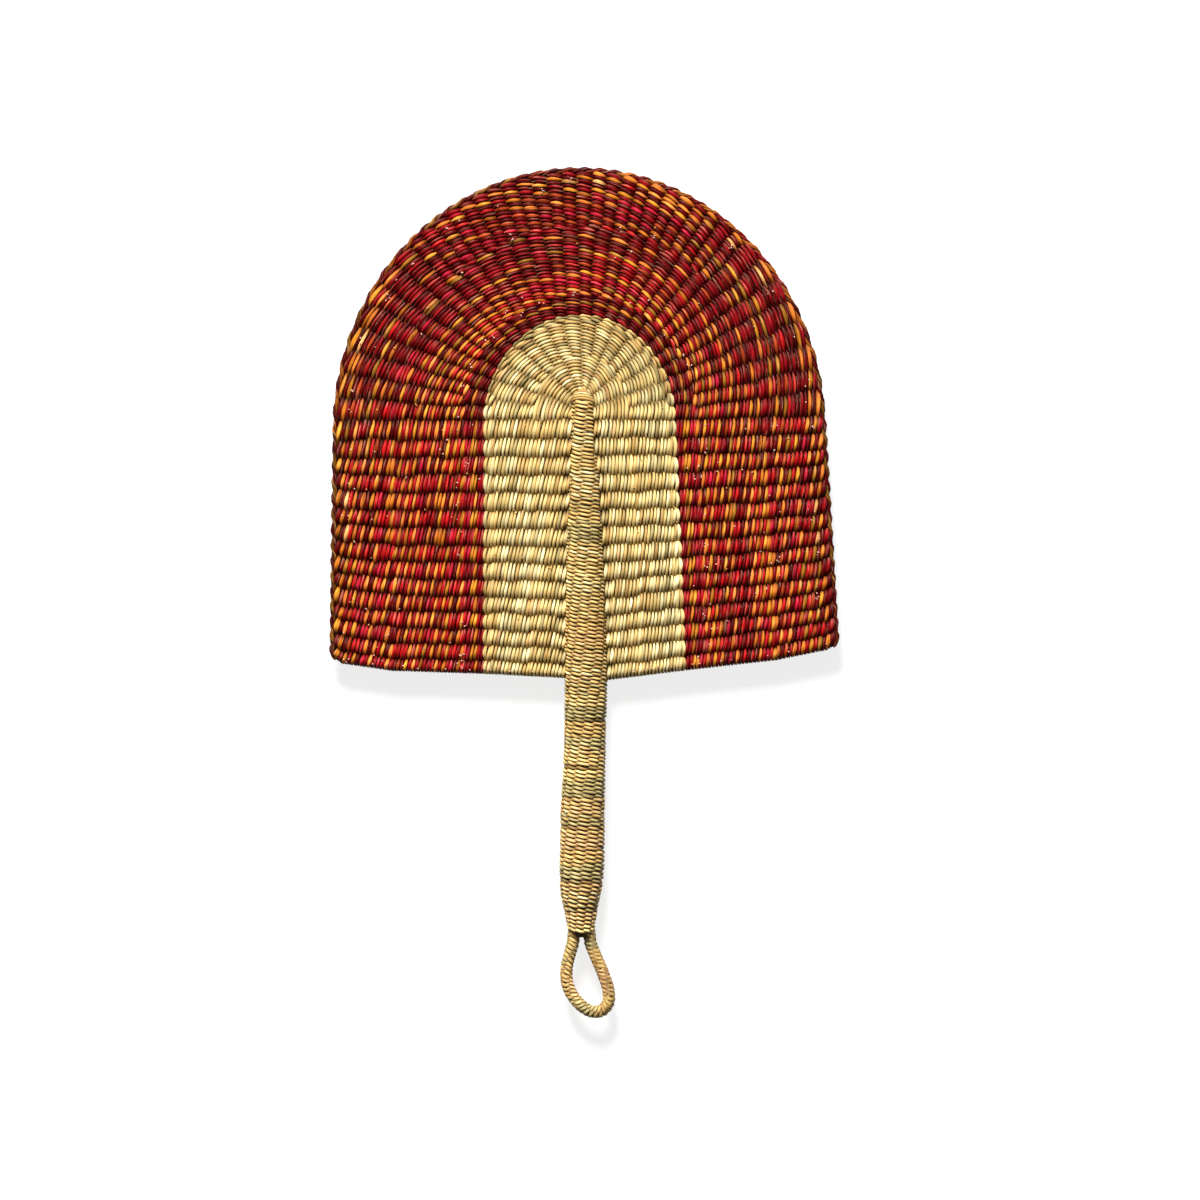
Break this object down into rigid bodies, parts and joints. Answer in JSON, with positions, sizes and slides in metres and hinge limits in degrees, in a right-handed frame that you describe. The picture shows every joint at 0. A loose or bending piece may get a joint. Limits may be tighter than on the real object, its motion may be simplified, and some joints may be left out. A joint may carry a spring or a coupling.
{
  "type": "woven hand fan",
  "caption": "Woven grass hand fan with a dyed arch-shaped blade, a bound straight handle and a wound hanging loop.",
  "frame": {"origin": "middle of the fan's outline, on the surface it lies on", "axes": "+X to the fan's right seen from the front, +Y along the handle to the top of the blade, +Z out of the front face"},
  "size_m": [0.2554, 0.4258, 0.022],
  "materials": {
    "straw": "twined natural straw, satin",
    "stalk": "bundled grass stalks, matte",
    "crimson_straw": "twined dyed straw, satin",
    "dyed_straw": "twined straw in mixed reds and golds, satin",
    "rim_straw": "twisted edge cord of dyed straw, satin"
  },
  "bodies": {
    "root": {"weft_straw_inner": "straw", "weft_straw_outer": "straw", "weft_crimson": "crimson_straw", "weft_dyed_inner": "dyed_straw", "weft_dyed_outer": "dyed_straw", "rim_border": "rim_straw", "handle_core": "stalk", "binding_blade": "straw", "binding_grip_upper": "straw", "binding_grip_middle": "straw", "binding_grip_lower": "straw", "binding_neck": "straw", "loop_core": "stalk", "loop_wrap": "straw", "spoke_right_01": "stalk", "spoke_right_02": "stalk", "spoke_right_03": "stalk", "spoke_right_04": "stalk", "spoke_right_05": "stalk", "spoke_right_06": "stalk", "spoke_right_07": "stalk", "spoke_right_08": "stalk", "spoke_right_09": "stalk", "spoke_right_10": "stalk", "spoke_right_11": "stalk", "spoke_right_12": "stalk", "spoke_right_13": "stalk", "spoke_right_14": "stalk", "spoke_right_15": "stalk", "spoke_left_01": "stalk", "spoke_left_02": "stalk", "spoke_left_03": "stalk", "spoke_left_04": "stalk", "spoke_left_05": "stalk", "spoke_left_06": "stalk", "spoke_left_07": "stalk", "spoke_left_08": "stalk", "spoke_left_09": "stalk", "spoke_left_10": "stalk", "spoke_left_11": "stalk", "spoke_left_12": "stalk", "spoke_left_13": "stalk", "spoke_left_14": "stalk", "spoke_left_15": "stalk", "spoke_arch_1": "stalk", "spoke_arch_2": "stalk", "spoke_arch_3": "stalk", "spoke_arch_4": "stalk", "spoke_arch_5": "stalk", "spoke_arch_6": "stalk", "spoke_arch_7": "stalk", "spoke_arch_8": "stalk"}
  },
  "joints": []
}
